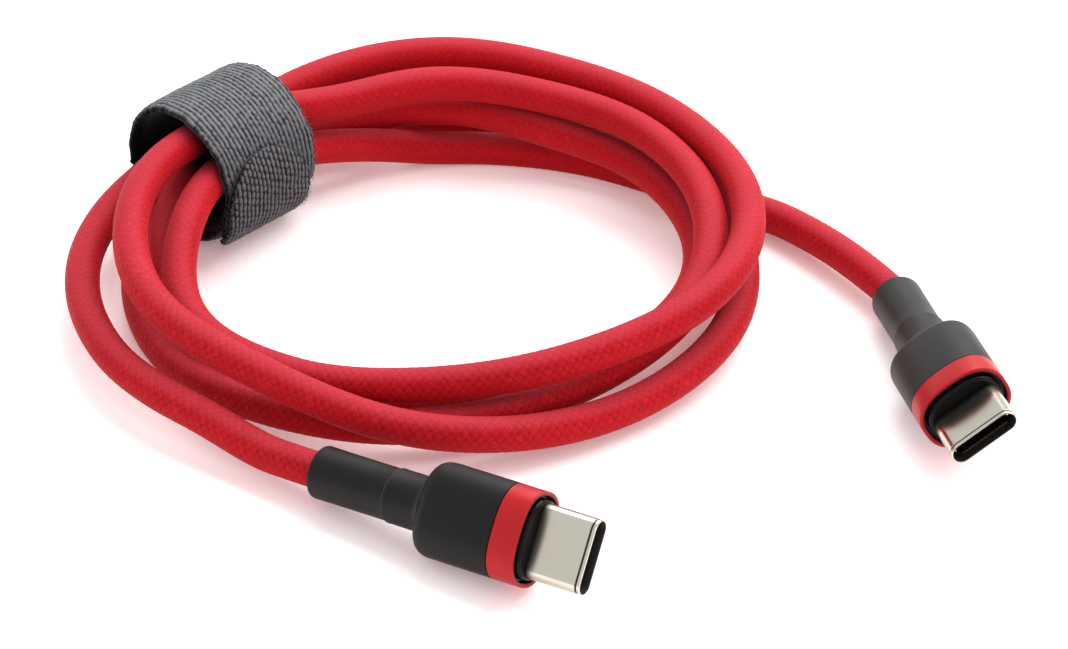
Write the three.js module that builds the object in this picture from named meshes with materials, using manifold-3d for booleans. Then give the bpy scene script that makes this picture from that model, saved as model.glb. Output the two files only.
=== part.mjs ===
// A braided charging cable, wound into four turns and held by a hook-and-loop strap,
// with the same moulded plug on each end. Millimetres, +Z up, the cable lying on z = 0.
import * as THREE from 'three';
import { mergeVertices } from 'three/addons/utils/BufferGeometryUtils.js';
import Module from 'manifold-3d';

const wasm = await Module();
wasm.setup();
const RAD = Math.PI / 180;

// ---- driving dimensions ------------------------------------------------------------

const CORD = 3.9;              // diameter over the braid
const JOINT_GAP = 0.3;         // between two stretches of cord that meet end to end
const FLAT_CUT = CORD / 10;    // the depth that the faceted cord is cut flat where it lies
const COIL_CENTRE = [-10.9, 14.6];   // centre of the turns, from the middle of the whole part

// The turns are read at twelve marks each, 30 degrees apart and clockwise from the strap.
// A pair is the distance from the coil's centre and the height above the table.
const MARK = 30;
const FIRST_MARK = 150;
const STEPS_A_TURN = 24;
const CORD_SIDES = 6;
const TURNS = [
  [[33.9, 7.4], [33.1, 6.1], [32.4, 2.1], [33.6, 3.2], [34.2, 6.4], [35.1, 4.4],
    [37.0, 3.9], [36.9, 3.1], [37.4, 5.2], [36.4, 8.8], [36.5, 10.8], [33.1, 13.1]],
  [[27.2, 13.0], [23.9, 11.3], [25.2, 11.2], [26.3, 10.7], [28.8, 10.6], [31.4, 9.5],
    [32.9, 7.1], [31.9, 4.1], [33.4, 3.1], [35.1, 3.4], [34.6, 1.9], [33.4, 2.6]],
  [[30.8, 3.8], [28.7, 4.7], [27.7, 6.3], [25.7, 6.2], [28.6, 5.35], [30.6, 4.1],
    [29.7, 3.5], [26.8, 2.9], [26.6, 1.8], [27.5, 1.6], [29.1, 1.6], [30.0, 5.7]],
  [[29.5, 9.0], [30.1, 11.1], [31.6, 11.5], [31.8, 11.0], [33.4, 10.9], [35.8, 10.6],
    [36.3, 10.6], [33.3, 9.0], [31.0, 6.9], [30.9, 5.4], [31.4, 6.0], [27.4, 9.9]],
];
const COIL_END = [24.8, 9.2];
const BEFORE_COIL = [39.3, 5.3];    // the marks beyond the two ends set the way they point
const AFTER_COIL = [23.6, 5.1];

// The two free stretches, from plug to coil and from coil to plug, about the coil's centre.
const TAIL_SIDES = 8;
const TAIL_STEP = 9.5;
const LEFT_TAIL = [
  [-11.5, -42.8, 3.8], [-14.9, -40.6, 3.6], [-18.3, -38.2, 3.4], [-24.3, -33.5, 4.3],
  [-29.9, -28.9, 4.6], [-34.6, -23.4, 4.8], [-37.8, -16.8, 5.0], [-39.5, -9.9, 5.0],
  [-39.7, -2.8, 5.2], [-38.1, 4.0, 5.7], [-35.6, 8.9, 6.3], [-32.5, 13.1, 7.0],
  [-29.4, 16.9, 7.4],
];
const RIGHT_TAIL = [
  [-21.5, 12.4, 9.2], [-18.8, 15.3, 8.2], [-15.2, 18.2, 6.5], [-11.1, 20.9, 4.9],
  [-6.3, 23.5, 3.3], [-0.9, 25.3, 2.1], [5.5, 25.9, 1.7], [12.3, 25.1, 1.6],
  [18.7, 23.1, 1.6], [24.1, 20.3, 1.6], [29.5, 17.1, 1.6], [35.0, 13.4, 1.7],
  [40.2, 9.3, 2.3], [46.0, 2.5, 2.8], [50.6, -4.3, 2.9], [51.9, -6.2, 2.8],
  [52.6, -8.15, 2.95],
];

// Where the plugs lie: the middle of the trim ring's front edge, about the coil's centre,
// then the way the plug points, how far its nose is raised, and its roll.
const LEFT_PLUG = { at: [11.7, -58.07, 6.03], yaw: -33.3, pitch: 4.5, roll: 52.8 };
const RIGHT_PLUG = { at: [58.3, -35.15, 6.72], yaw: -78.1, pitch: 7.8, roll: 32.7 };

// The plug, measured along its own axis from the trim ring's front edge, + to the tip.
const BODY_W = 10.5;
const BODY_H = 7.75;
const SECTION_POWER = 2.55;    // between an ellipse, 2, and a rectangle
const BODY_WALL = 0.6;
const BODY_SIDES = 40;
const BODY_REAR = -13.5;
const SHOULDER_R = 1.7;
const RING_LENGTH = 3.3;
const RING_WALL = 0.5;
const RING_BEVEL = 0.15;
const BEZEL_REAR = -2.6;
const BEZEL_FLANGE = -0.7;
const BEZEL_FACE = 0.45;
const BEZEL_STEP = 0.3;
const TIP = 7.1;
const SHELL_W = 8.25;
const SHELL_H = 2.4;
const SHELL_WALL = 0.27;
const SHELL_REAR = -4.2;
const LIP_GROOVE = 0.55;       // from the tip to the groove behind the lip
const LIP_GROOVE_W = 0.25;
const LIP_GROOVE_DEPTH = 0.1;
const CONTACTS = 12;
const CONTACT_PITCH = 0.5;
const CONTACT_W = 0.26;
const CONTACT_TIP = 6.2;
const WAFER_FRONT = 2.2;
const WAFER_REAR = -4.0;
const SLEEVE_REAR = -27.6;
const SLEEVE_D = 5.9;
const NECK_D = 6.1;
const NECK_LENGTH = 3.8;
const RELIEF_BORE = 4.9;
const FERRULE = [-16.2, -13.0];
const CLEAR = 0.1;             // between pieces that seat in each other inside the plug

// The strap: an upright oval loop round the bundle, its free end pressed on the near side.
const STRAP_AT = 151;          // bearing of the strap from the coil's centre
const STRAP_TURN = 46.4;         // the way it runs, along the cords it holds
const STRAP_RADIUS = 28.5;
const STRAP_WIDTH = 13.8;
const STRAP_THICK = 1.05;
const STRAP_HALF_W = 7.9;      // inside
const STRAP_HALF_H = 7.75;
const TAB_THICK = 1.0;
const TAB_GAP = 0.15;
const TAB_FROM = -52;          // where the free end leaves the loop, and where it stops
const TAB_TO = 29;

// ---- finishes ----------------------------------------------------------------------

const finish = (color, roughness, metalness = 0) =>
  new THREE.MeshStandardMaterial({ color, roughness, metalness });
const braid = finish(0xc8202e, 0.85);
const softBlack = finish(0x2d2c2c, 0.6);
const gloss = finish(0x0c0c0d, 0.25);
const redMetal = finish(0xc8383c, 0.4, 0.6);
const nickel = finish(0xcdc8b9, 0.25, 1);
const steel = finish(0xb9bcc0, 0.3, 1);
const resin = finish(0x17171a, 0.5);
const gold = finish(0xcaa24a, 0.3, 1);
const board = finish(0x1f5a34, 0.5);
const jacket = finish(0x202124, 0.6);
const hookLoop = finish(0x787d80, 0.95);

// ---- small tools -------------------------------------------------------------------

const part = new THREE.Group();

function addPiece(group, name, geometry, material) {
  const mesh = new THREE.Mesh(geometry, material);
  mesh.name = name;
  group.add(mesh);
  return mesh;
}

function bare(geometry) {
  const copy = geometry.clone();
  for (const key of Object.keys(copy.attributes)) {
    if (key !== 'position') copy.deleteAttribute(key);
  }
  return mergeVertices(copy, 1e-4);
}

function toSolid(geometry) {
  const g = bare(geometry);
  const vertProperties = new Float32Array(g.attributes.position.array);
  const triVerts = new Uint32Array(g.index.array);
  return new wasm.Manifold(new wasm.Mesh({ numProp: 3, vertProperties, triVerts }));
}

function toGeometry(solid) {
  const mesh = solid.getMesh();
  const g = new THREE.BufferGeometry();
  g.setAttribute('position', new THREE.BufferAttribute(mesh.vertProperties, 3));
  g.setIndex(new THREE.BufferAttribute(mesh.triVerts, 1));
  return g;
}

function cut(geometry, ...tools) {
  return toGeometry(tools.reduce((solid, tool) => solid.subtract(toSolid(tool)), toSolid(geometry)));
}

function join(geometry, ...others) {
  return toGeometry(others.reduce((solid, other) => solid.add(toSolid(other)), toSolid(geometry)));
}

// A closed skin over rings of points: capped at both ends, or joined end to end.
function skin(rings, closed = false) {
  const sides = rings[0].length;
  const points = rings.flat();
  const faces = [];
  const bands = closed ? rings.length : rings.length - 1;
  for (let i = 0; i < bands; i++) {
    const next = ((i + 1) % rings.length) * sides;
    for (let j = 0; j < sides; j++) {
      const k = (j + 1) % sides;
      const a = i * sides + j;
      const b = i * sides + k;
      faces.push(a, b, next + k, a, next + k, next + j);
    }
  }
  if (!closed) {
    const last = (rings.length - 1) * sides;
    for (let j = 1; j < sides - 1; j++) {
      faces.push(0, j + 1, j, last, last + j, last + j + 1);
    }
  }
  if (signedVolume(points, faces) < 0) {
    for (let i = 0; i < faces.length; i += 3) {
      [faces[i + 1], faces[i + 2]] = [faces[i + 2], faces[i + 1]];
    }
  }
  const g = new THREE.BufferGeometry().setFromPoints(points);
  g.setIndex(faces);
  return g;
}

function signedVolume(points, faces) {
  let volume = 0;
  for (let i = 0; i < faces.length; i += 3) {
    const [a, b, c] = [points[faces[i]], points[faces[i + 1]], points[faces[i + 2]]];
    volume += a.dot(b.clone().cross(c)) / 6;
  }
  return volume;
}

// The plug's rounded section at one place along its axis.
function section(x, width, height, sides = BODY_SIDES, power = SECTION_POWER) {
  const ring = [];
  for (let i = 0; i < sides; i++) {
    const a = (i / sides) * 2 * Math.PI;
    const c = Math.cos(a);
    const s = Math.sin(a);
    const y = (width / 2) * Math.sign(c) * Math.abs(c) ** (2 / power);
    const z = (height / 2) * Math.sign(s) * Math.abs(s) ** (2 / power);
    ring.push(new THREE.Vector3(x, y, z));
  }
  return ring;
}

// A flat oval with round ends, as the plug's metal shell has.
function oval(x, width, height, steps = 8) {
  const r = height / 2;
  const reach = width / 2 - r;
  const ring = [];
  for (const side of [1, -1]) {
    for (let i = 0; i <= steps; i++) {
      const a = (-90 + (180 * i) / steps) * RAD;
      ring.push(new THREE.Vector3(x, side * (reach + r * Math.cos(a)), side * r * Math.sin(a)));
    }
  }
  return ring;
}

function box(from, to) {
  const size = to.map((v, i) => v - from[i]);
  const g = new THREE.BoxGeometry(...size);
  g.translate(...to.map((v, i) => (v + from[i]) / 2));
  return g;
}

// A turned piece about the plug's axis: [along, radius] pairs, closed on themselves.
function turned(profile, segments = 24) {
  const points = profile.map(([x, r]) => new THREE.Vector2(r, x));
  if (THREE.ShapeUtils.isClockWise(points)) points.reverse();
  points.push(points[0].clone());
  const g = new THREE.LatheGeometry(points, segments);
  g.rotateZ(-90 * RAD);
  return g;
}

// ---- the cord ----------------------------------------------------------------------

const turnMarks = [BEFORE_COIL, ...TURNS.flat(), COIL_END, AFTER_COIL];

function between(p, t) {
  const [a, b, c, d] = p;
  return 0.5 * (2 * b + (c - a) * t + (2 * a - 5 * b + 4 * c - d) * t * t
    + (3 * b - a - 3 * c + d) * t * t * t);
}

// The middle of the cord at a number of marks past the coil's start.
function onCoil(marks) {
  const i = THREE.MathUtils.clamp(Math.floor(marks), 0, turnMarks.length - 4);
  const near = turnMarks.slice(i, i + 4);
  const radius = between(near.map((m) => m[0]), marks - i);
  const height = between(near.map((m) => m[1]), marks - i);
  const bearing = (FIRST_MARK - marks * MARK) * RAD;
  return new THREE.Vector3(radius * Math.cos(bearing), radius * Math.sin(bearing), height);
}

function coilWay(marks) {
  return onCoil(marks + 0.01).sub(onCoil(marks - 0.01)).normalize();
}

function coilPath() {
  const marksATurn = 360 / MARK;
  const steps = STEPS_A_TURN * TURNS.length;
  const path = [];
  for (let i = 0; i <= steps; i++) {
    path.push(onCoil((i * marksATurn) / STEPS_A_TURN));
  }
  return path;
}

// Both ends run straight for one diameter, square to what they meet, and stop short of it.
function straightEnds(path, startWay, endWay) {
  const start = path[0];
  const end = path.at(-1);
  const clear = (p, i) => (i > 2 || p.distanceTo(start) > 2 * CORD)
    && (i < path.length - 3 || p.distanceTo(end) > 2 * CORD);
  return [
    start.clone().addScaledVector(startWay, JOINT_GAP / 2),
    start.clone().addScaledVector(startWay, CORD),
    ...path.filter(clear),
    end.clone().addScaledVector(endWay, -CORD),
    end.clone().addScaledVector(endWay, -JOINT_GAP / 2),
  ];
}

function plugWay(place) {
  return new THREE.Vector3(1, 0, 0)
    .applyEuler(new THREE.Euler(0, -place.pitch * RAD, place.yaw * RAD, 'ZYX'));
}

// A tube whose sections stand upright, so that a flat always faces the table.
function cordTube(path, sides) {
  const rings = path.map((p, i) => {
    const before = path[Math.max(i - 1, 0)];
    const after = path[Math.min(i + 1, path.length - 1)];
    const ahead = after.clone().sub(before).normalize();
    const across = new THREE.Vector3(0, 0, 1).cross(ahead).normalize();
    const up = ahead.clone().cross(across);
    const ring = [];
    for (let j = 0; j < sides; j++) {
      const a = ((j + 0.5) / sides) * 2 * Math.PI;
      ring.push(p.clone().addScaledVector(across, (CORD / 2) * Math.cos(a - Math.PI / 2))
        .addScaledVector(up, (CORD / 2) * Math.sin(a - Math.PI / 2)));
    }
    return ring;
  });
  return skin(rings);
}

function tailPath(points) {
  const curve = new THREE.CatmullRomCurve3(points.map((p) => new THREE.Vector3(...p)));
  return curve.getSpacedPoints(Math.round(curve.getLength() / TAIL_STEP));
}

function leastGap(path) {
  const fine = [];
  for (let i = 0; i < path.length - 1; i++) {
    for (let k = 0; k < 6; k++) fine.push(path[i].clone().lerp(path[i + 1], k / 6));
  }
  const apart = (STEPS_A_TURN / 2) * 6;
  let least = Infinity;
  for (let i = 0; i < fine.length; i++) {
    for (let j = i + apart; j < fine.length; j++) {
      least = Math.min(least, fine[i].distanceTo(fine[j]));
    }
  }
  return least - CORD;
}

function flatOnTable(geometry) {
  const table = box([-120, -120, -20], [120, 120, 0]);
  return cut(geometry, table);
}

// ---- the plug ----------------------------------------------------------------------

function plugBody() {
  const rings = [section(-RING_LENGTH - 0.05, BODY_W, BODY_H)];
  const steps = 6;
  for (let i = 0; i <= steps; i++) {
    const a = (90 * i / steps) * RAD;
    const inset = 2 * SHOULDER_R * (1 - Math.cos(a));
    const x = BODY_REAR + SHOULDER_R - SHOULDER_R * Math.sin(a);
    rings.push(section(x, BODY_W - inset, BODY_H - inset));
  }
  const room = skin([
    section(BODY_REAR + 1, BODY_W - 2 * BODY_WALL - 1.2, BODY_H - 2 * BODY_WALL - 1.2),
    section(BODY_REAR + 2, BODY_W - 2 * BODY_WALL, BODY_H - 2 * BODY_WALL),
    section(0, BODY_W - 2 * BODY_WALL, BODY_H - 2 * BODY_WALL),
  ]);
  const cordWay = new THREE.CylinderGeometry(RELIEF_BORE / 2, RELIEF_BORE / 2, 3, 24);
  cordWay.rotateZ(90 * RAD);
  cordWay.translate(BODY_REAR, 0, 0);
  return cut(skin(rings), room, cordWay);
}

function trimRing() {
  const inside = [BODY_W - 2 * RING_WALL, BODY_H - 2 * RING_WALL];
  return skin([
    section(-RING_LENGTH, BODY_W, BODY_H),
    section(-RING_BEVEL, BODY_W, BODY_H),
    section(0, BODY_W - 2 * RING_BEVEL, BODY_H - 2 * RING_BEVEL),
    section(0, inside[0] + RING_BEVEL, inside[1] + RING_BEVEL),
    section(-RING_BEVEL, ...inside),
    section(-RING_LENGTH, ...inside),
  ], true);
}

function frontBezel() {
  const flange = [BODY_W - 2 * RING_WALL - 2 * CLEAR, BODY_H - 2 * RING_WALL - 2 * CLEAR];
  const boss = flange.map((v) => v - 2 * BEZEL_STEP);
  const solid = skin([
    section(BEZEL_REAR, ...flange),
    section(BEZEL_FLANGE, ...flange),
    section(BEZEL_FLANGE + 0.01, ...boss),
    section(BEZEL_FACE - 0.25, ...boss),
    section(BEZEL_FACE - 0.07, boss[0] - 0.15, boss[1] - 0.15),
    section(BEZEL_FACE, boss[0] - 0.5, boss[1] - 0.5),
  ]);
  const hole = skin([-4, 4].map((x) => oval(x, SHELL_W + 2 * CLEAR, SHELL_H + 2 * CLEAR)));
  return cut(solid, hole);
}

function plugShell() {
  const grooveEnd = TIP - LIP_GROOVE;
  const deep = 2 * LIP_GROOVE_DEPTH;
  const soft = 0.12;
  const mouth = [SHELL_W - 2 * SHELL_WALL, SHELL_H - 2 * SHELL_WALL];
  return skin([
    oval(SHELL_REAR, SHELL_W, SHELL_H),
    oval(grooveEnd - LIP_GROOVE_W, SHELL_W, SHELL_H),
    oval(grooveEnd - LIP_GROOVE_W + 0.05, SHELL_W - deep, SHELL_H - deep),
    oval(grooveEnd - 0.05, SHELL_W - deep, SHELL_H - deep),
    oval(grooveEnd, SHELL_W - deep / 2, SHELL_H - deep / 2),
    oval(TIP - soft, SHELL_W - deep / 2, SHELL_H - deep / 2),
    oval(TIP, SHELL_W - deep / 2 - soft, SHELL_H - deep / 2 - soft),
    oval(TIP, mouth[0] + 0.1, mouth[1] + 0.1),
    oval(TIP - 0.1, ...mouth),
    oval(SHELL_REAR, ...mouth),
  ], true);
}

// Half of the contact block: a moulded wafer with a row of spring contacts reaching
// forward, bowed towards the middle where they touch the socket's tongue.
function contactWafer(side) {
  const halfRow = ((CONTACTS - 1) * CONTACT_PITCH) / 2;
  const pieces = [];
  for (let i = 0; i < CONTACTS; i++) {
    const y = -halfRow + i * CONTACT_PITCH;
    const bow = [[WAFER_FRONT - 0.3, 0.6], [4.4, 0.52], [5.4, 0.4], [CONTACT_TIP, 0.55]];
    const rings = bow.map(([x, z]) => [
      new THREE.Vector3(x, y - CONTACT_W / 2, side * z),
      new THREE.Vector3(x, y + CONTACT_W / 2, side * z),
      new THREE.Vector3(x, y + CONTACT_W / 2, side * (z + 0.12)),
      new THREE.Vector3(x, y - CONTACT_W / 2, side * (z + 0.12)),
    ]);
    pieces.push(skin(rings));
  }
  const low = Math.min(side * 0.17, side * 0.83);
  const high = Math.max(side * 0.17, side * 0.83);
  const block = box([WAFER_REAR, -3.3, low], [WAFER_FRONT, 3.3, high]);
  return join(block, ...pieces);
}

// The latch: one U of spring steel between the wafers, hooked inward near the mouth.
function latchSpring() {
  const shape = new THREE.Shape([
    [-3.6, -3.0], [2.0, -3.0], [2.0, -3.45], [5.9, -3.45], [5.9, -3.3], [5.3, -3.0],
    [5.1, -3.0], [4.9, -3.28], [2.5, -3.28], [2.5, 3.28], [4.9, 3.28], [5.1, 3.0],
    [5.3, 3.0], [5.9, 3.3], [5.9, 3.45], [2.0, 3.45], [2.0, 3.0], [-3.6, 3.0],
  ].map((p) => new THREE.Vector2(...p)));
  const g = new THREE.ExtrudeGeometry(shape, { depth: 0.14, bevelEnabled: false });
  g.translate(0, 0, -0.07);
  return g;
}

// A thin spring plate that earths the socket inside the mouth, with a raised middle bar.
function groundSpring(side) {
  const rings = [[2.5, 0.76], [3.2, 0.76], [4.2, 0.69], [5.2, 0.76], [5.8, 0.76]].map(([x, z]) => [
    new THREE.Vector3(x, -2.9, side * z),
    new THREE.Vector3(x, 2.9, side * z),
    new THREE.Vector3(x, 2.9, side * (z + 0.1)),
    new THREE.Vector3(x, -2.9, side * (z + 0.1)),
  ]);
  return skin(rings);
}

function paddleCard() {
  const shape = new THREE.Shape([
    [-10.2, -3.4], [-4.5, -3.4], [-4.5, 3.4], [-10.2, 3.4], [-10.2, 0.9], [-9.5, 0.9],
    [-9.5, -0.9], [-10.2, -0.9],
  ].map((p) => new THREE.Vector2(...p)));
  const g = new THREE.ExtrudeGeometry(shape, { depth: 0.6, bevelEnabled: false });
  g.translate(0, 0, -0.3);
  return g;
}

function shieldCan() {
  const can = box([-11.3, -3.95, -1.65], [-4.4, 3.95, 1.65]);
  const room = box([-11.05, -3.7, -1.4], [0, 3.7, 1.4]);
  const throat = new THREE.CylinderGeometry(1.5, 1.5, 4, 20);
  throat.rotateZ(90 * RAD);
  throat.translate(-12, 0, 0);
  const collar = new THREE.CylinderGeometry(1.75, 1.75, 1.2, 20);
  collar.rotateZ(90 * RAD);
  collar.translate(-11.8, 0, 0);
  return cut(join(can, collar), room, throat);
}

function innerMould() {
  const w = BODY_W - 2 * BODY_WALL - 2 * CLEAR;
  const h = BODY_H - 2 * BODY_WALL - 2 * CLEAR;
  const block = skin([
    section(BODY_REAR + 1.1, w - 1.3, h - 1.3),
    section(BODY_REAR + 2.1, w, h),
    section(BEZEL_REAR - CLEAR, w, h),
  ]);
  const canRoom = box([-11.5, -4.05, -1.75], [-4.3, 4.05, 1.75]);
  const shellWay = skin([-4.4, 0].map((x) => oval(x, SHELL_W + 2 * CLEAR, SHELL_H + 2 * CLEAR)));
  const cordWay = new THREE.CylinderGeometry(2, 2, 4, 20);
  cordWay.rotateZ(90 * RAD);
  cordWay.translate(-13, 0, 0);
  return cut(block, canRoom, shellWay, cordWay);
}

function crimpFerrule() {
  const [rear, front] = FERRULE;
  const r = RELIEF_BORE / 2 - CLEAR;
  return turned([[rear, r - 0.25], [rear, r], [front, r], [front, r - 0.25]]);
}

// The neck and the sleeve behind it, with the fine bead where one meets the other.
function strainRelief() {
  const neck = NECK_D / 2;
  const sleeve = SLEEVE_D / 2;
  const bore = RELIEF_BORE / 2;
  const cordR = CORD / 2 + 0.1;
  const step = BODY_REAR - NECK_LENGTH;
  return turned([
    [BODY_REAR - 0.05, bore], [BODY_REAR - 0.05, neck], [step + 0.15, neck],
    [step, neck + 0.12], [step - 0.2, neck + 0.05], [step - 0.25, sleeve],
    [SLEEVE_REAR + 0.5, sleeve], [SLEEVE_REAR + 0.15, sleeve - 0.15],
    [SLEEVE_REAR, sleeve - 0.5], [SLEEVE_REAR, cordR], [FERRULE[0] - 0.4, cordR],
    [FERRULE[0] - 0.4, bore],
  ], 28);
}

// The cord's inner jacket, stripped of its braid, running through the relief to the card.
function cableCore() {
  return turned([
    [SLEEVE_REAR + 0.3, 0.3], [SLEEVE_REAR + 0.3, 1.6], [-12.6, 1.6], [-12.6, 1.35],
    [-10.5, 1.35], [-10.5, 0.3],
  ], 16);
}

function addPlug(name, place) {
  const plug = new THREE.Group();
  addPiece(plug, `${name}_plug_shell`, plugShell(), nickel);
  addPiece(plug, `${name}_upper_contacts`, contactWafer(1), gold);
  addPiece(plug, `${name}_lower_contacts`, contactWafer(-1), gold);
  addPiece(plug, `${name}_latch_spring`, latchSpring(), steel);
  addPiece(plug, `${name}_upper_ground_spring`, groundSpring(1), steel);
  addPiece(plug, `${name}_lower_ground_spring`, groundSpring(-1), steel);
  addPiece(plug, `${name}_paddle_card`, paddleCard(), board);
  addPiece(plug, `${name}_shield_can`, shieldCan(), steel);
  addPiece(plug, `${name}_inner_mould`, innerMould(), resin);
  addPiece(plug, `${name}_plug_body`, plugBody(), softBlack);
  addPiece(plug, `${name}_trim_ring`, trimRing(), redMetal);
  addPiece(plug, `${name}_front_bezel`, frontBezel(), gloss);
  addPiece(plug, `${name}_strain_relief`, strainRelief(), softBlack);
  addPiece(plug, `${name}_crimp_ferrule`, crimpFerrule(), steel);
  addPiece(plug, `${name}_cable_core`, cableCore(), jacket);
  plug.rotation.set(place.roll * RAD, -place.pitch * RAD, place.yaw * RAD, 'ZYX');
  plug.position.set(...place.at);
  return plug;
}

// ---- the strap ---------------------------------------------------------------------

// A point of the strap's own section: an oval of given growth, standing on the table.
function strapPoint(angle, growth, along) {
  const a = angle * RAD;
  const across = -(STRAP_HALF_W + growth) * Math.cos(a);
  const up = (STRAP_HALF_H + growth) * Math.sin(a) + STRAP_HALF_H + STRAP_THICK;
  return new THREE.Vector3(along, across, up);
}

function strapBand() {
  const rings = [];
  const count = 40;
  for (let i = 0; i < count; i++) {
    const angle = (360 * i) / count;
    rings.push([
      strapPoint(angle, 0, -STRAP_WIDTH / 2), strapPoint(angle, 0, STRAP_WIDTH / 2),
      strapPoint(angle, STRAP_THICK, STRAP_WIDTH / 2),
      strapPoint(angle, STRAP_THICK, -STRAP_WIDTH / 2),
    ]);
  }
  return skin(rings, true);
}

// The free end: it follows the loop up the near side and ends in a half circle.
function strapTab() {
  const rings = [];
  const inner = STRAP_THICK + TAB_GAP;
  const mean = (STRAP_HALF_W + STRAP_HALF_H) / 2 + inner;
  const roundSpan = (STRAP_WIDTH / 2 / mean) / RAD;
  const count = 22;
  for (let i = 0; i <= count; i++) {
    const t = 1 - (1 - i / count) ** 1.6;
    const angle = TAB_FROM + (TAB_TO - TAB_FROM) * t;
    const past = Math.max(0, (angle - (TAB_TO - roundSpan)) / roundSpan);
    const half = (STRAP_WIDTH / 2) * Math.sqrt(Math.max(1 - past * past, 0.004));
    rings.push([
      strapPoint(angle, inner, -half), strapPoint(angle, inner, half),
      strapPoint(angle, inner + TAB_THICK, half), strapPoint(angle, inner + TAB_THICK, -half),
    ]);
  }
  return skin(rings);
}

function addStrap() {
  const strap = new THREE.Group();
  addPiece(strap, 'strap_band', strapBand(), hookLoop);
  addPiece(strap, 'strap_tab', strapTab(), hookLoop);
  strap.rotation.z = STRAP_TURN * RAD;
  const bearing = STRAP_AT * RAD;
  strap.position.set(STRAP_RADIUS * Math.cos(bearing), STRAP_RADIUS * Math.sin(bearing), 0);
  return strap;
}

// ---- assembly ----------------------------------------------------------------------

const coil = coilPath();
console.log('least gap of the coil to itself, mm:', leastGap(coil).toFixed(2));
const intoCoil = coilWay(0);
const outOfCoil = coilWay((360 / MARK) * TURNS.length);
const turns = straightEnds(coil, intoCoil, outOfCoil);
const leftTail = straightEnds(tailPath(LEFT_TAIL), plugWay(LEFT_PLUG).negate(), intoCoil);
const rightTail = straightEnds(tailPath(RIGHT_TAIL), outOfCoil, plugWay(RIGHT_PLUG));
addPiece(part, 'cord_coil', flatOnTable(cordTube(turns, CORD_SIDES)), braid);
addPiece(part, 'cord_left_tail', flatOnTable(cordTube(leftTail, TAIL_SIDES)), braid);
addPiece(part, 'cord_right_tail', flatOnTable(cordTube(rightTail, TAIL_SIDES)), braid);
part.add(addPlug('left', LEFT_PLUG), addPlug('right', RIGHT_PLUG), addStrap());
part.position.set(COIL_CENTRE[0], COIL_CENTRE[1], 0);
part.updateMatrixWorld(true);

export default part;
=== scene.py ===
"""A braided charging cable in a flat coil, held by a hook-and-loop strap, a plug on each end.

The cord follows the route of the CAD. The strap is a knitted tape with its pile in the
mesh. The plug's outer pieces are drawn once, along their own axis in millimetres, and
copied to both ends. Every finished piece sits in the frame of the CAD, in metres.
"""

import math

import bpy
import numpy as np
from mathutils import Matrix, Vector


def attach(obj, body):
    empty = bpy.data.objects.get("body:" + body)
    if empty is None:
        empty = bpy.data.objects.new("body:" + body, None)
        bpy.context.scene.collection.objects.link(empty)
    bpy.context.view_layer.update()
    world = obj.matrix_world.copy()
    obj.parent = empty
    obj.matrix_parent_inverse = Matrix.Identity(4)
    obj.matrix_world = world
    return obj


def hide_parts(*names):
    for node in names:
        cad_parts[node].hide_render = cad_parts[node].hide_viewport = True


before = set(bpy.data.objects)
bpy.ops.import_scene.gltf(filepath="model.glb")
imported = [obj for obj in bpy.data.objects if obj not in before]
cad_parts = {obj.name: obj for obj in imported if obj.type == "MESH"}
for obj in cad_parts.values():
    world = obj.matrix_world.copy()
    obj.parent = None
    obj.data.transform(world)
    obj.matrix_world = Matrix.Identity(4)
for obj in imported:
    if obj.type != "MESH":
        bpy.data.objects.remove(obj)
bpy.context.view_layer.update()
MM = 0.001
dice = np.random.default_rng(7)

# ---- the route of the cord and the places and sizes of the pieces, in millimetres: those of
# the CAD, but ten marks of the route are up to 0.8 mm closer where the photo has no gap, and
# the plug's neck is 0.4 mm longer and its shoulder 0.2 mm rounder

CORD = 3.9
COIL_CENTRE = (-10.9, 14.6)
MARK, FIRST_MARK = 30, 150     # degrees from mark to mark, and the bearing of the first one
TURNS = (                      # the radius and the height at each mark
    ((33.9, 7.4), (33.1, 6.1), (31.9, 2.1), (33.6, 3.2), (34.2, 6.4), (35.1, 4.4),
     (37.0, 3.9), (36.9, 3.1), (37.4, 5.2), (36.4, 8.8), (36.5, 10.8), (32.9, 13.1)),
    ((27.2, 13.0), (23.9, 11.3), (25.2, 11.2), (26.3, 10.7), (28.8, 10.6), (31.4, 9.5),
     (32.9, 7.1), (31.9, 4.1), (33.4, 3.1), (35.1, 3.4), (34.6, 1.9), (33.65, 2.6)),
    ((31.15, 3.8), (28.7, 4.7), (27.7, 6.3), (25.7, 6.55), (28.6, 5.65), (30.6, 4.1),
     (29.7, 3.5), (26.8, 2.9), (26.6, 1.8), (27.5, 1.6), (29.1, 1.6), (30.7, 6.0)),
    ((29.8, 9.0), (30.1, 11.1), (31.6, 11.5), (31.8, 11.0), (33.4, 10.9), (35.8, 10.6),
     (36.3, 10.6), (33.3, 9.0), (31.0, 6.9), (30.9, 5.4), (31.4, 6.0), (27.4, 9.9)),
)
BEFORE_COIL = (39.3, 5.3)
COIL_END = (24.8, 9.2)
AFTER_COIL = (23.6, 5.1)
LEFT_TAIL = (
    (-11.5, -42.8, 3.8), (-14.9, -40.6, 3.6), (-18.3, -38.2, 3.4), (-24.3, -33.5, 4.3),
    (-29.9, -28.9, 4.6), (-34.6, -23.4, 4.8), (-37.8, -16.8, 5.0), (-39.5, -9.9, 5.0),
    (-39.7, -2.8, 5.2), (-38.1, 4.0, 5.7), (-35.6, 8.9, 6.3), (-32.5, 13.1, 7.0),
    (-29.4, 16.9, 7.4),
)
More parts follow.
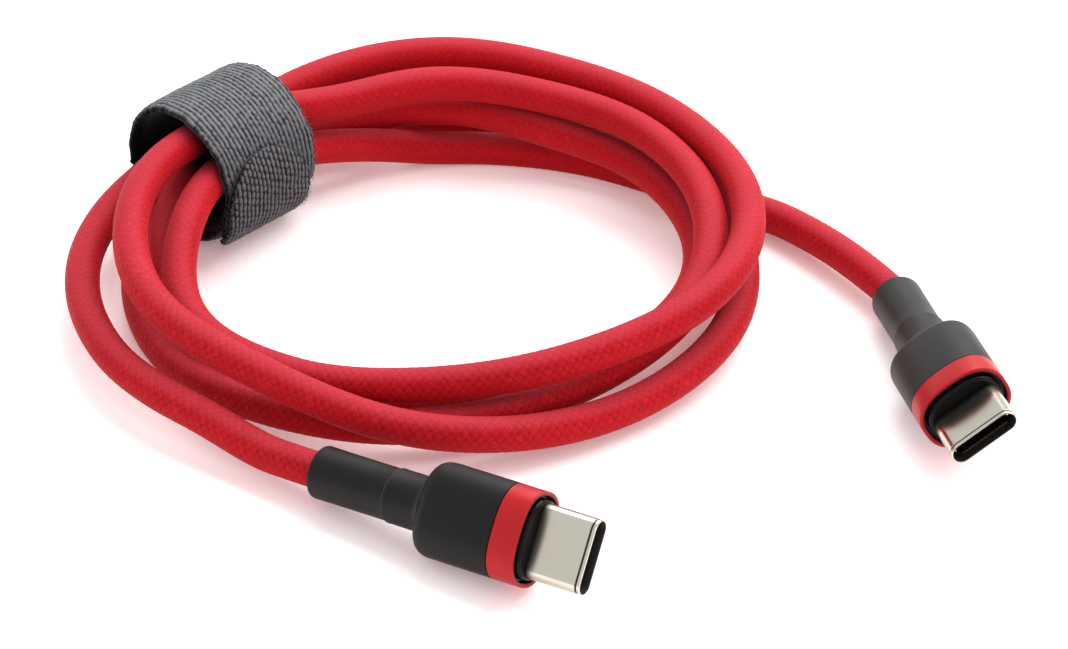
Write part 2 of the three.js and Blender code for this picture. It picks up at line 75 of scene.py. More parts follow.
RIGHT_TAIL = (
    (-21.5, 12.4, 9.2), (-18.8, 15.3, 8.2), (-15.2, 18.2, 6.5), (-11.1, 20.9, 5.2),
    (-6.3, 23.5, 3.6), (-0.9, 25.3, 2.1), (5.5, 25.9, 1.7), (12.3, 25.1, 1.6),
    (18.7, 23.1, 1.6), (24.1, 20.3, 1.6), (29.5, 17.1, 1.6), (35.0, 13.4, 1.7),
    (40.2, 9.3, 2.3), (46.0, 2.5, 2.8), (50.6, -4.3, 2.9), (51.9, -6.2, 2.8),
    (52.6, -8.15, 2.95),
)
PLUGS = {
    "left": {"at": (11.7, -58.07, 6.03), "yaw": -33.3, "pitch": 4.5, "roll": 52.8},
    "right": {"at": (58.3, -35.15, 6.72), "yaw": -78.1, "pitch": 7.8, "roll": 32.7},
}
BODY_W, BODY_H, BODY_POWER = 10.5, 7.75, 2.55
BODY_REAR = -13.5
SHOULDER = 1.9
RING_LENGTH, RING_WALL = 3.3, 0.5
BEZEL_FACE = 0.45
TIP, SHELL_W, SHELL_H, SHELL_WALL, SHELL_REAR = 7.1, 8.25, 2.4, 0.27, -4.2
LIP_GROOVE = 0.55
SLEEVE_REAR, SLEEVE_D, NECK_D, NECK_LENGTH = -27.6, 5.9, 6.1, 4.2
CONTACTS, CONTACT_PITCH, CONTACT_W = 12, 0.5, 0.26
WAFER_REAR, WAFER_FRONT, WAFER_HALF_W, WAFER_FROM, WAFER_TO = -4.0, 2.2, 3.3, 0.17, 0.83
FINGER_ROOT, FINGER_LOW, FINGER_THICK = 1.9, 0.6, 0.12
FINGER_BENDS = ((1.5, -0.04), (1.0, -0.05), (0.8, -0.09), (0.4, -0.02), (0.4, 0.06), (0.2, 0.08))

STRAP_AT, STRAP_TURN, STRAP_RADIUS = 151, 46.4, 28.5
STRAP_WIDTH, STRAP_THICK = 13.8, 1.05
STRAP_HALF_W, STRAP_HALF_H = 7.9, 7.75
STRAP_X = STRAP_RADIUS * math.cos(math.radians(STRAP_AT)) + COIL_CENTRE[0]
STRAP_Y = STRAP_RADIUS * math.sin(math.radians(STRAP_AT)) + COIL_CENTRE[1]
TAB_THICK, TAB_GAP, TAB_FROM, TAB_TO = 1.0, 0.15, -52, 29
TAB_INNER = STRAP_THICK + TAB_GAP


# ---- camera

CAMERA_PITCH, CAMERA_LENS, CAMERA_SENSOR = 34.2, 159.8, 36
CAMERA_RIGHT, CAMERA_BACK, CAMERA_UP = 11.5, 455.0, 303.0     # from the coil's centre


def add_camera():
    """The photograph's view: in front of the coil, looking down at it."""
    data = bpy.data.cameras.new("camera")
    data.sensor_width = CAMERA_SENSOR
    data.lens = CAMERA_LENS
    data.clip_start, data.clip_end = 0.01, 20
    camera = bpy.data.objects.new("camera", data)
    bpy.context.collection.objects.link(camera)
    camera.location = Vector((COIL_CENTRE[0] + CAMERA_RIGHT, COIL_CENTRE[1] - CAMERA_BACK,
                              CAMERA_UP)) * MM
    camera.rotation_euler = (math.pi / 2 - math.radians(CAMERA_PITCH), 0, 0)
    bpy.context.scene.camera = camera


add_camera()


# ---- small tools

def plug_matrix(place):
    """From a plug's own axis, in millimetres, to its place in the frame, in metres."""
    turn = (Matrix.Rotation(math.radians(place["yaw"]), 4, "Z")
            @ Matrix.Rotation(math.radians(-place["pitch"]), 4, "Y")
            @ Matrix.Rotation(math.radians(place["roll"]), 4, "X"))
    at = Vector(place["at"]) + Vector((*COIL_CENTRE, 0))
    return Matrix.Scale(MM, 4) @ Matrix.Translation(at) @ turn


def new_mesh(name, points, faces, uv=None):
    """A mesh object from arrays of points, quads or triangles, and a pair per corner."""
    mesh = bpy.data.meshes.new(name)
    mesh.from_pydata([tuple(p) for p in points], [], [tuple(f) for f in faces])
    if uv is not None:
        layer = mesh.uv_layers.new(name="UVMap")
        layer.data.foreach_set("uv", np.asarray(uv, dtype=np.float32).ravel())
    mesh.polygons.foreach_set("use_smooth", [True] * len(mesh.polygons))
    mesh.update()
    piece = bpy.data.objects.new(name, mesh)
    bpy.context.collection.objects.link(piece)
    return piece


def keep_values(piece, name, values):
    """One number a vertex, for a material to read."""
    layer = piece.data.attributes.new(name, "FLOAT", "POINT")
    layer.data.foreach_set("value", np.asarray(values, dtype=np.float32))


# ---- the cord

CORD_RADIUS = CORD / 2 + 0.04
CORD_ROUND = 2 * math.pi * CORD_RADIUS
CORD_STEP, CORD_SIDES = 0.36, 34             # the tube's mesh, along it and round it
IN_SLEEVE, OFF_SLEEVE = 1.2, 0.8             # from the sleeve's end to the cord's last marks
LINE_STEP, IRON_REACH = 0.25, 6              # the route's own step, and the ironing's reach in steps
FLOATS = 10                                  # pairs of yarns round the cord
FLOAT_LONG = 1.05                            # from float to float along the cord
BRAID_RELIEF, BRAID_MEAN = 0.035, 0.55       # how far the floats stand out, and their mean height
SWELLS = ((0.008, 0.122, 0), (0.006, 0.046, 1))     # share of the radius, radians a mm, start
WELL_CLEAR = -9                              # a depth for what is not near the strap


def between(p, t):
    """The curve through four marks, at the share t of the way from the second to the third."""
    a, b, c, d = p
    return 0.5 * (2 * b + (c - a) * t + (2 * a - 5 * b + 4 * c - d) * t * t
                  + (3 * b - a - 3 * c + d) * t ** 3)


def coil_line(step=0.02):
    """The wound part, drawn through its marks in small steps."""
    marks = np.array([BEFORE_COIL, *[m for turn in TURNS for m in turn], COIL_END, AFTER_COIL])
    line = []
    for place in np.arange(0, len(marks) - 3 + step / 2, step):
        i = min(int(place), len(marks) - 4)
        radius, height = between(marks[i:i + 4], place - i)
        bearing = math.radians(FIRST_MARK - place * MARK)
        line.append((radius * math.cos(bearing), radius * math.sin(bearing), height))
    return np.array(line)


def smooth_line(points, step=0.05):
    """A curve through loose points, with evenly held bends."""
    p = np.array(points, dtype=float)
    p = np.vstack([2 * p[0] - p[1], p, 2 * p[-1] - p[-2]])
    line = []
    for i in range(len(p) - 3):
        for t in np.arange(0, 1, step):
            line.append(between(p[i:i + 4], t))
    line.append(p[-2])
    return np.array(line)


def evenly(line, step):
    """The same line with its points at equal distances."""
    along = np.concatenate([[0], np.cumsum(np.linalg.norm(np.diff(line, axis=0), axis=1))])
    count = round(along[-1] / step)
    at = np.linspace(0, along[-1], count + 1)
    return np.stack([np.interp(at, along, line[:, k]) for k in range(3)], 1)


def ironed(line, reach):
    """The line with its small kinks taken out, its ends kept."""
    weights = np.exp(-0.5 * (np.arange(-3 * reach, 3 * reach + 1) / reach) ** 2)
    weights /= weights.sum()
    out = line.copy()
    for k in range(3):
        ends = (2 * line[0, k] - line[3 * reach:0:-1, k],
                2 * line[-1, k] - line[-2:-3 * reach - 2:-1, k])
        out[:, k] = np.convolve(np.concatenate([ends[0], line[:, k], ends[1]]), weights, "valid")
    return out


def cord_line():
    """The cord's whole route, from within the left sleeve to within the right one."""
    ends = []
    for place in PLUGS.values():
        m = plug_matrix(place)
        ends.append([np.array(m @ Vector((SLEEVE_REAR + d, 0, 0))) / MM
                     - np.array([*COIL_CENTRE, 0])
                     for d in (IN_SLEEVE, IN_SLEEVE / 2, 0.0, -OFF_SLEEVE)])
    left = smooth_line([*ends[0], *LEFT_TAIL[1:]])
    right = smooth_line([*RIGHT_TAIL[:-2], *ends[1][::-1]])
    line = np.vstack([left[:-1], coil_line(), right[1:]])
    line = ironed(evenly(line, LINE_STEP), IRON_REACH)
    line[:, :2] += COIL_CENTRE
    return line


def braid_height(u, v):
    """How far the floats of the braid stand out, from 0 to 1."""
    p = u / FLOAT_LONG + v * FLOATS / CORD_ROUND
    q = u / FLOAT_LONG - v * FLOATS / CORD_ROUND
    rise_p, rise_q = np.abs(np.sin(math.pi * p)), np.abs(np.sin(math.pi * q))
    return np.sqrt(rise_p * rise_q)


def under_strap(points):
    """How deep within the strap each point is, in millimetres, measured from its open sides."""
    turn = math.radians(STRAP_TURN)
    off = points[:, :2] - [STRAP_X, STRAP_Y]
    along = off @ [math.cos(turn), math.sin(turn)]
    across = off @ [-math.sin(turn), math.cos(turn)]
    near = np.abs(across) < STRAP_HALF_W + 1
    return np.where(near, STRAP_WIDTH / 2 - np.abs(along), WELL_CLEAR)


def cord_rings(path):
    """Upright sections along the path, swollen a little and raised by the floats of the braid."""
    ahead = np.gradient(path, axis=0)
    ahead /= np.linalg.norm(ahead, axis=1)[:, None]
    across = np.cross(np.array([0, 0, 1.0]), ahead)
    across /= np.linalg.norm(across, axis=1)[:, None]
    up = np.cross(ahead, across)
    angle = np.arange(CORD_SIDES) / CORD_SIDES * 2 * math.pi
    at = np.arange(len(path)) * CORD_STEP
    swell = CORD_RADIUS * (1 + sum(share * np.sin(at * rate + start)
                                   for share, rate, start in SWELLS))
    floats = braid_height(at[:, None], (angle * CORD_RADIUS)[None])
    bumps = BRAID_RELIEF * (floats - BRAID_MEAN)
    rings = (path[:, None] + (swell[:, None] + bumps)[:, :, None]
             * (across[:, None] * np.cos(angle)[None, :, None]
                + up[:, None] * np.sin(angle)[None, :, None]))
    rings[:, :, 2] = np.maximum(rings[:, :, 2], 0.0)
    return rings


def cord_piece(line):
    """The tube, resting flat where it meets the table, and the path of its middle."""
    path = evenly(line, CORD_STEP)
    count, sides = len(path), CORD_SIDES
    points = np.vstack([cord_rings(path).reshape(-1, 3), path[:1], path[-1:]]) * MM
    faces, uv = [], []
    for i in range(count - 1):
        for j in range(sides):
            k = (j + 1) % sides
            faces.append((i * sides + j, i * sides + k, (i + 1) * sides + k, (i + 1) * sides + j))
            a, b = i * CORD_STEP, (i + 1) * CORD_STEP
            c, d = j / sides * CORD_ROUND, (j + 1) / sides * CORD_ROUND
            uv += [(a, c), (a, d), (b, d), (b, c)]
    last = (count - 1) * sides
    for j in range(sides):
        k = (j + 1) % sides
        faces += [(k, j, count * sides), (last + j, last + k, count * sides + 1)]
        uv += [(0, 0)] * 6
    piece = new_mesh("cord", points, faces, uv)
    # the depth within the strap sets the painted shadow on the cord there
    keep_values(piece, "depth", under_strap(points / MM))
    return piece, path * MM


cord, cord_path = cord_piece(cord_line())


# ---- the plug's outer pieces, drawn along +X from the trim ring's front edge

def superellipse(sides, power):
    """A closed outline one unit wide and high: a circle at a power of 2, squarer above it."""
    ring = []
    for i in range(sides):
        a = 2 * math.pi * i / sides
        c, s = math.cos(a), math.sin(a)
        ring.append((math.copysign(abs(c) ** (2 / power), c) / 2,
                     math.copysign(abs(s) ** (2 / power), s) / 2))
    return ring


def flat_oval(width, height, steps=12):
    """A closed outline one unit wide and high, with round ends and straight sides."""
    r = height / 2
    reach = width / 2 - r
    ring = []
    for side in (1, -1):
        for i in range(steps + 1):
            a = math.radians(-90 + 180 * i / steps)
            ring.append((side * (reach + r * math.cos(a)) / width, side * r * math.sin(a) / height))
        for i in range(1, 6):
            ring.append((side * reach * (1 - i / 3) / width, side * r / height))
    return ring


BODY = (BODY_W, BODY_H)
BODY_OUTLINE = superellipse(120, BODY_POWER)
NECK_CORE = (NECK_D - 0.6, NECK_D - 0.6)


def sized(x, size, growth=0.0):
    """A station of a loft: its place, and a width and height that grow by the same amount."""
    return x, size[0] + growth, size[1] + growth


def loft(name, outline, stations, closed=False):
    """A circle shaped to an outline, then drawn out and resized from station to station."""
    bpy.ops.object.select_all(action="DESELECT")
    bpy.ops.mesh.primitive_circle_add(vertices=len(outline), radius=1, fill_type="NOTHING")
    piece = bpy.context.object
    piece.name = piece.data.name = name
    x, width, height = stations[0]
    for vertex, (y, z) in zip(piece.data.vertices, outline):
        vertex.co = (x, y * width, z * height)
    bpy.ops.object.mode_set(mode="EDIT")
    bpy.ops.mesh.select_all(action="SELECT")
    if not closed:
        bpy.ops.mesh.edge_face_add()
    for here, there in zip(stations, stations[1:]):
        bpy.ops.mesh.extrude_region_move(
            TRANSFORM_OT_translate={"value": (there[0] - here[0], 0, 0)})
        bpy.ops.transform.resize(value=(1, there[1] / here[1], there[2] / here[2]),
                                 center_override=(there[0], 0, 0))
    bpy.ops.object.mode_set(mode="OBJECT")
    if closed:
        bridge_ends(piece, len(outline))
    bpy.ops.object.mode_set(mode="EDIT")
    bpy.ops.mesh.select_all(action="SELECT")
    bpy.ops.mesh.remove_doubles(threshold=1e-5)
    bpy.ops.mesh.normals_make_consistent(inside=False)
    bpy.ops.object.mode_set(mode="OBJECT")
    return piece


def bridge_ends(piece, count):
    """Joins the first ring of vertices to the last one."""
    vertices = piece.data.vertices
    for vertex in vertices:
        vertex.select = vertex.index < count or vertex.index >= len(vertices) - count
    for edge in piece.data.edges:
        chosen = all(vertices[v].select for v in edge.vertices)
        in_first = [v < count for v in edge.vertices]
        edge.select = chosen and in_first[0] == in_first[1]
    bpy.ops.object.mode_set(mode="EDIT")
    bpy.ops.mesh.bridge_edge_loops()
    bpy.ops.object.mode_set(mode="OBJECT")


def smoothed(piece, degrees=32):
    """The piece with its shading smooth wherever faces meet at less than this angle."""
    bpy.ops.object.select_all(action="DESELECT")
    piece.select_set(True)
    bpy.context.view_layer.objects.active = piece
    bpy.ops.object.shade_smooth_by_angle(angle=math.radians(degrees))
    return piece


def quarter(count):
    """The angles of a quarter circle in equal steps, both ends included."""
    return [math.radians(90 * i / count) for i in range(count + 1)]


def draw_body():
    """The soft-touch shell: rounded rear shoulder, straight sides, eased front edge."""
    front, ease = -RING_LENGTH - 0.04, 0.08
    stations = [sized(BODY_REAR + 0.6, NECK_CORE), sized(BODY_REAR + 0.02, NECK_CORE)]
    for a in quarter(12):
        inset = 2 * SHOULDER * (1 - math.sin(a))
        stations.append(sized(BODY_REAR + SHOULDER * (1 - math.cos(a)), BODY, -inset))
    for a in quarter(4):
        inset = 2 * ease * (1 - math.cos(a))
        stations.append(sized(front - ease * (1 - math.sin(a)), BODY, -inset))
    stations.append(sized(front, BODY, -1.2))
    return loft("plug_body", BODY_OUTLINE, stations)


def draw_ring():
    """The trim ring: a broad band with a fine bevelled front rim."""
    rear, rim = -RING_LENGTH + 0.05, 0.12
    hole = (BODY_W - 2 * RING_WALL, BODY_H - 2 * RING_WALL)
    stations = [sized(rear, BODY, -0.1), sized(-RING_LENGTH + 0.1, BODY), sized(-1.7, BODY)]
    for a in quarter(5):
        stations.append(sized(-rim * (1 - math.sin(a)), BODY, -2 * rim * (1 - math.cos(a))))
    stations += [sized(0, hole, 0.12), sized(-0.06, hole), sized(-1.2, hole), sized(rear, hole)]
    piece = loft("trim_ring", BODY_OUTLINE, stations, closed=True)
    bore = (BODY_W - 0.62, BODY_H - 0.62)
    inner = []
    for _, y, z in (vertex.co for vertex in piece.data.vertices):
        off = abs(2 * y / bore[0]) ** BODY_POWER + abs(2 * z / bore[1]) ** BODY_POWER
        inner.append(1.0 if off < 1 else 0.0)
    keep_values(piece, "inner", inner)
    return piece


def draw_bezel():
    """The gloss insert: a flange deep in the ring and a crowned boss round the shell."""
    flange = (BODY_W - 2 * RING_WALL - 0.04, BODY_H - 2 * RING_WALL - 0.04)
    boss = (flange[0] - 0.62, flange[1] - 0.62)
    boss_edge, crown = -0.1, 0.4
    stations = [sized(-2.6, flange), sized(-0.75, flange), sized(-0.7, flange, -0.1),
                sized(-0.72, boss, 0.06), sized(-0.62, boss), sized(boss_edge, boss)]
    for a in quarter(8)[1:]:
        x = boss_edge + (BEZEL_FACE - boss_edge) * math.sin(a)
        stations.append(sized(x, boss, -2 * crown * (1 - math.cos(a))))
    stations.append(sized(BEZEL_FACE + 0.01, boss, -1.4))
    return loft("front_bezel", BODY_OUTLINE, stations)


def draw_shell():
    """The drawn metal shell: a flat oval tube with a groove behind its rolled lip."""
    shell = (SHELL_W, SHELL_H)
    mouth = (SHELL_W - 2 * SHELL_WALL, SHELL_H - 2 * SHELL_WALL)
    lip_start, lip = TIP - LIP_GROOVE + 0.2, 0.14
    stations = [sized(SHELL_REAR, shell), sized(0.2, shell)]
    groove = ((-0.3, 0), (-0.26, 0.04), (-0.24, 0.3), (-0.04, 0.3), (-0.02, 0.1), (0, 0.06))
    stations += [sized(lip_start + x, shell, -depth) for x, depth in groove]
    for a in quarter(6):
        inset = 2 * lip * (1 - math.cos(a)) + 0.06
        stations.append(sized(TIP - lip * (1 - math.sin(a)), shell, -inset))
    stations += [sized(TIP - 0.02, mouth, 0.24), sized(TIP - 0.1, mouth, 0.2),
                 sized(TIP - 0.6, mouth), sized(2.0, mouth), sized(SHELL_REAR, mouth)]
    piece = loft("plug_shell", flat_oval(SHELL_W, SHELL_H), stations, closed=True)
    reach = (SHELL_W - SHELL_H) / 2
    inner = []
    for x, y, z in (vertex.co for vertex in piece.data.vertices):
        off = math.hypot(max(abs(y) - reach, 0), z)
        in_mouth = off < SHELL_H / 2 - SHELL_WALL + 0.11
        in_groove = off < SHELL_H / 2 - 0.1 and x < lip_start
        inner.append(1.0 if in_mouth or in_groove else 0.0)
    # inner marks the mouth and the groove's floor, where shade is painted
    keep_values(piece, "inner", inner)
    return piece


def draw_relief():
    """Neck and sleeve: a flare into the body, a fine step, a long thin sleeve, a crisp lip."""
    step, lip = BODY_REAR - NECK_LENGTH, 0.28
    profile = [(BODY_REAR + 1.1, NECK_CORE[0])]
    for i in range(9):
        reach = 1 - i / 8
        profile.append((BODY_REAR - 0.55 + 1.05 * reach, NECK_D + 0.62 * reach ** 2))
    profile += [(step + 0.25, NECK_D - 0.02), (step + 0.1, NECK_D + 0.03), (step, NECK_D + 0.03),
                (step - 0.1, SLEEVE_D + 0.02), (step - 0.25, SLEEVE_D - 0.05),
                (step - 3, SLEEVE_D - 0.06), (SLEEVE_REAR + 3, SLEEVE_D - 0.05),
                (SLEEVE_REAR + 0.75, SLEEVE_D)]
    for a in quarter(5):
        profile.append((SLEEVE_REAR + lip * (1 - math.sin(a)), SLEEVE_D - 2 * lip * (1 - math.cos(a))))
    profile += [(SLEEVE_REAR + 0.05, CORD + 0.15), (SLEEVE_REAR + 0.6, CORD)]
    return loft("strain_relief", superellipse(64, 2), [(x, d, d) for x, d in profile])


def draw_wafer(side):
    """One half of the contact block: a moulded slab with softened edges."""
    near, far = sorted((side * WAFER_FROM, side * WAFER_TO))
    low, high = (WAFER_REAR, -WAFER_HALF_W, near), (WAFER_FRONT, WAFER_HALF_W, far)
    bpy.ops.object.select_all(action="DESELECT")
    bpy.ops.mesh.primitive_cube_add(size=1, location=[(a + b) / 2 for a, b in zip(low, high)],
                                    scale=[b - a for a, b in zip(low, high)])
    piece = bpy.context.object
    piece.name = piece.data.name = "wafer"
    bpy.ops.object.transform_apply(location=True, rotation=True, scale=True)
    bevel = piece.modifiers.new("bevel", "BEVEL")
    bevel.width, bevel.segments = 0.05, 2
    bpy.ops.object.modifier_apply(modifier="bevel")
    return piece


def joined(name, pieces):
    """Several pieces made one."""
    bpy.ops.object.select_all(action="DESELECT")
    for piece in pieces:
        piece.select_set(True)
    bpy.context.view_layer.objects.active = pieces[0]
    bpy.ops.object.join()
    piece = bpy.context.object
    piece.name = piece.data.name = name
    return piece


def draw_contacts(side):
    """A row of sprung contacts, each a bent finger."""
    fingers = []
    half_row = (CONTACTS - 1) * CONTACT_PITCH / 2
    for i in range(CONTACTS):
        y = -half_row + i * CONTACT_PITCH
        bpy.ops.object.select_all(action="DESELECT")
        bpy.ops.mesh.primitive_plane_add(size=1)
        finger = bpy.context.object
        for vertex, (u, v) in zip(finger.data.vertices, ((-1, 0), (1, 0), (-1, 1), (1, 1))):
            vertex.co = (FINGER_ROOT, y + u * CONTACT_W / 2, side * (FINGER_LOW + FINGER_THICK * v))
        bpy.ops.object.mode_set(mode="EDIT")
        bpy.ops.mesh.select_all(action="SELECT")
        for dx, dz in FINGER_BENDS:
            bpy.ops.mesh.extrude_region_move(
                TRANSFORM_OT_translate={"value": (dx, 0, side * dz)})
        bpy.ops.mesh.select_all(action="SELECT")
        bpy.ops.mesh.normals_make_consistent(inside=False)
        bpy.ops.object.mode_set(mode="OBJECT")
        fingers.append(finger)
    return joined("contacts", fingers)


def placed(source, name, matrix):
    """A copy of a drawn piece with its own mesh, its place in the mesh."""
    piece = source.copy()
    piece.data = source.data.copy()
    piece.name = piece.data.name = name
    bpy.context.collection.objects.link(piece)
    own = piece.data.attributes.new("own", "FLOAT_VECTOR", "POINT")
    own.data.foreach_set("vector", [c for v in piece.data.vertices for c in v.co])
    bpy.ops.object.select_all(action="DESELECT")
    piece.select_set(True)
    bpy.context.view_layer.objects.active = piece
    piece.matrix_world = matrix
    bpy.ops.object.transform_apply(location=True, rotation=True, scale=True)
    return piece


def add_plugs():
    """Each outer piece is drawn once and copied to both ends of the cord."""
    drawn = {
        "plug_body": smoothed(draw_body()),
        "trim_ring": smoothed(draw_ring()),
        "front_bezel": smoothed(draw_bezel()),
        "plug_shell": smoothed(draw_shell(), 25),
        "strain_relief": smoothed(draw_relief(), 40),
        "upper_wafer": smoothed(draw_wafer(1)),
        "lower_wafer": smoothed(draw_wafer(-1)),
        "upper_contacts": smoothed(draw_contacts(1)),
        "lower_contacts": smoothed(draw_contacts(-1)),
    }
    made = {}
    for side, place in PLUGS.items():
        for part, source in drawn.items():
            made[side, part] = placed(source, f"{side}_{part}_look", plug_matrix(place))
    for source in drawn.values():
        bpy.data.objects.remove(source)
    return made


plugs = add_plugs()


# ---- the strap

RIB, ROW = 0.62, 0.52                  # from rib to rib across the tape, from link to link along it
# of each weave: the loops' shift from rib to rib, how deep they are cut apart, how high the
# links between them lie
BAND_WEAVE, TAB_WEAVE = (0.5, 0.35, 0.65), (0.37, 0.6, 0.2)
TAPE_COLUMNS, INNER_COLUMNS = 122, 8
BAND_ROWS, TAB_ROWS = 560, 150
PILE_HIGH, GROUND_DEEP, EDGE_DROP, WAVE = 0.2, 0.22, 0.35, 0.05
TAB_HALF = 6.5
TAB_ROOT_SHIFT, TAB_LIE = -0.2, -1.25  # the free end's shift at its root, and what comes to it
TAB_LIE_SPAN = 45                      # within this many degrees from the root
HAIR_LENGTH, HAIR_THIN, HAIR_BEND = 0.14, 0.03, 0.35
LOWEST_HAIR = 0.7


def strap_point(angle, growth, along):
    """A point on the strap's own section, as in the CAD, in millimetres."""
    a, turn = np.radians(angle), math.radians(STRAP_TURN)
    across = -(STRAP_HALF_W + growth) * np.cos(a)
    up = (STRAP_HALF_H + growth) * np.sin(a) + STRAP_HALF_H + STRAP_THICK
    return np.stack([STRAP_X + along * math.cos(turn) - across * math.sin(turn),
                     STRAP_Y + along * math.sin(turn) + across * math.cos(turn), up], -1)


def tab_askew(angle):
    """How far the free end is pressed down sideways, away from its root."""
    return TAB_ROOT_SHIFT + TAB_LIE * np.clip((angle - TAB_FROM) / TAB_LIE_SPAN, 0, 1)


def past_round(angle, half):
    """How far along the free end's round tip an angle is, from 0 at its start to 1."""
    span = math.degrees(half / ((STRAP_HALF_W + STRAP_HALF_H) / 2 + TAB_INNER))
    return np.clip((angle - (TAB_TO - span)) / span, 0, 1)


def speckle(u, v, seed, pitch):
    """Smooth noise over a flat sheet, from -1 to 1."""
    cells = 256
    grid = np.random.default_rng(seed).uniform(-1, 1, (cells + 1, cells + 1))
    x, y = (u / pitch) % cells, (v / pitch) % cells
    i, j = x.astype(int), y.astype(int)
    s, t = x - i, y - j
    s, t = s * s * (3 - 2 * s), t * t * (3 - 2 * t)
    return ((grid[i, j] * (1 - s) + grid[i + 1, j] * s) * (1 - t)
            + (grid[i, j + 1] * (1 - s) + grid[i + 1, j + 1] * s) * t)


def knit(w, s, stagger, cut, link):
    """How high the pile stands at a place on the tape, from 0 to 1: ribs of short loops."""
    rib = w / RIB + 0.2 * speckle(w, s, 3, 1.7)
    row = s / (ROW * (1 + cut)) + stagger * np.floor(rib)
    crest = np.abs(np.sin(math.pi * rib)) ** 0.9
    loop = np.abs(np.sin(math.pi * row)) ** 0.7
    tuft = 0.5 + 0.5 * speckle(w, s, 5, 0.34)
    height = np.maximum(crest * (1 - cut + cut * loop), link * (1 - loop))
    return np.clip(1.15 * height - 0.45 * tuft, 0, 1)


def strip_faces(w, s, closed):
    """Quads over a grid of rows along the tape and columns round it, and their uv."""
    count, ring = w.shape
    faces, uv = [], []
    for i in range(count if closed else count - 1):
        n = (i + 1) % count
        for j in range(ring):
            k = (j + 1) % ring
            faces.append((i * ring + j, n * ring + j, n * ring + k, i * ring + k))
            uv += [(w[i, j], s[i, j]), (w[n, j], s[n, j]), (w[n, k], s[n, k]), (w[i, k], s[i, k])]
    if not closed:
        last = (count - 1) * ring
        faces += [tuple(range(ring - 1, -1, -1)), tuple(range(last, last + ring))]
        uv += [(0, 0)] * (2 * ring)
    return faces, uv


def tape(name, angles, half_widths, base, thick, weave, closed):
    """A strip of tape along the section, knitted outside and plain inside.

    What is added to w and s below gives each noise a stretch of its own.
    """
    across = np.concatenate([np.linspace(-1, 1, TAPE_COLUMNS), np.linspace(1, -1, INNER_COLUMNS)])
    outside = np.arange(len(across)) < TAPE_COLUMNS
    rounded = np.abs(across) ** 14
    steps = np.radians(np.gradient(angles)) * np.hypot(
        (STRAP_HALF_W + base) * np.sin(np.radians(angles)),
        (STRAP_HALF_H + base) * np.cos(np.radians(angles)))
    w = half_widths[:, None] * across[None]
    s = np.cumsum(steps)[:, None] + 0 * w
    pile = knit(w + 20, s + 90, *weave) * outside
    face = base + thick - GROUND_DEEP + PILE_HIGH * pile - EDGE_DROP * rounded
    growth = np.where(outside, face, base) + WAVE * speckle(w + 20, s + 60, 11, 2.6) * outside
    fray = 0.2 * speckle(s + 40, 0 * s + 3, 9, 0.4) * np.abs(across) ** 6
    askew = np.zeros(len(angles)) if closed else tab_askew(angles)
    points = strap_point(angles[:, None] + 0 * w, growth,
                         askew[:, None] + w * (1 + fray / TAB_HALF)) * MM
    points[..., 2] = np.maximum(points[..., 2], 0.0)
    piece = new_mesh(name, points.reshape(-1, 3), *strip_faces(w, s, closed))
    keep_values(piece, "pile", pile.ravel())
    inward = (1 - np.abs(across)) * STRAP_WIDTH / 2
    # the cut edges are painted darker, the free end's most: a painted shadow line round it
    edge_grey = 0.5 if closed else 0.1
    rim = np.clip(edge_grey + 0.35 * speckle(w + 20, s + 30, 13, 0.4) + 1.6 * inward, 0, 1)
    keep_values(piece, "outside", (outside * rim).ravel())
    return piece


def add_strap():
    """The closed loop round the bundle, and its free end with a narrow root and a round tip."""
    angles = np.arange(BAND_ROWS) / BAND_ROWS * 360
    band = tape("strap_band_look", angles, np.full(BAND_ROWS, STRAP_WIDTH / 2), 0, STRAP_THICK,
                BAND_WEAVE, True)
    t = np.linspace(0, 1, TAB_ROWS)
    tab_angles = TAB_FROM + (TAB_TO - TAB_FROM) * (1 - (1 - t) ** 1.15)     # closer rows at the tip
    past = past_round(tab_angles, STRAP_WIDTH / 2)
    root = 1 - 0.1 * np.clip(1 - t / 0.25, 0, 1) ** 2                       # a tenth narrower
    halves = TAB_HALF * root * np.sqrt(np.maximum(1 - past ** 2, 0.0005))
    tab = tape("strap_tab_look", tab_angles, halves, TAB_INNER, TAB_THICK, TAB_WEAVE, False)
    return band, tab


strap_band, strap_tab = add_strap()


def fibres(name, roots, ways):
    """Loose hairs of the pile: bent three-sided strands."""
    points, faces = [], []
    for root, way in zip(roots, ways):
        way = Vector(way).normalized()
        side = way.orthogonal().normalized()
        other = way.cross(side)
        reach = HAIR_LENGTH * dice.uniform(0.4, 1.2)
        bend = (side * dice.normal() + other * dice.normal()) * HAIR_BEND
        base = len(points)
        for k in range(4):
            t = k / 3
            centre = Vector(root) + way * (reach * t) + bend * (reach * t * t)
            r = HAIR_THIN * (1 - 0.6 * t)
            for j in range(3):
                a = 2 * math.pi * j / 3
                points.append(centre + side * (r * math.cos(a)) + other * (r * math.sin(a)))
        for k in range(3):
            for j in range(3):
                a, b = base + 3 * k + j, base + 3 * k + (j + 1) % 3
                faces.append((a, b, b + 3, a + 3))
        faces += [(base + 2, base + 1, base), (base + 9, base + 10, base + 11)]
    return new_mesh(name, np.array([tuple(p) for p in points]) * MM, faces)


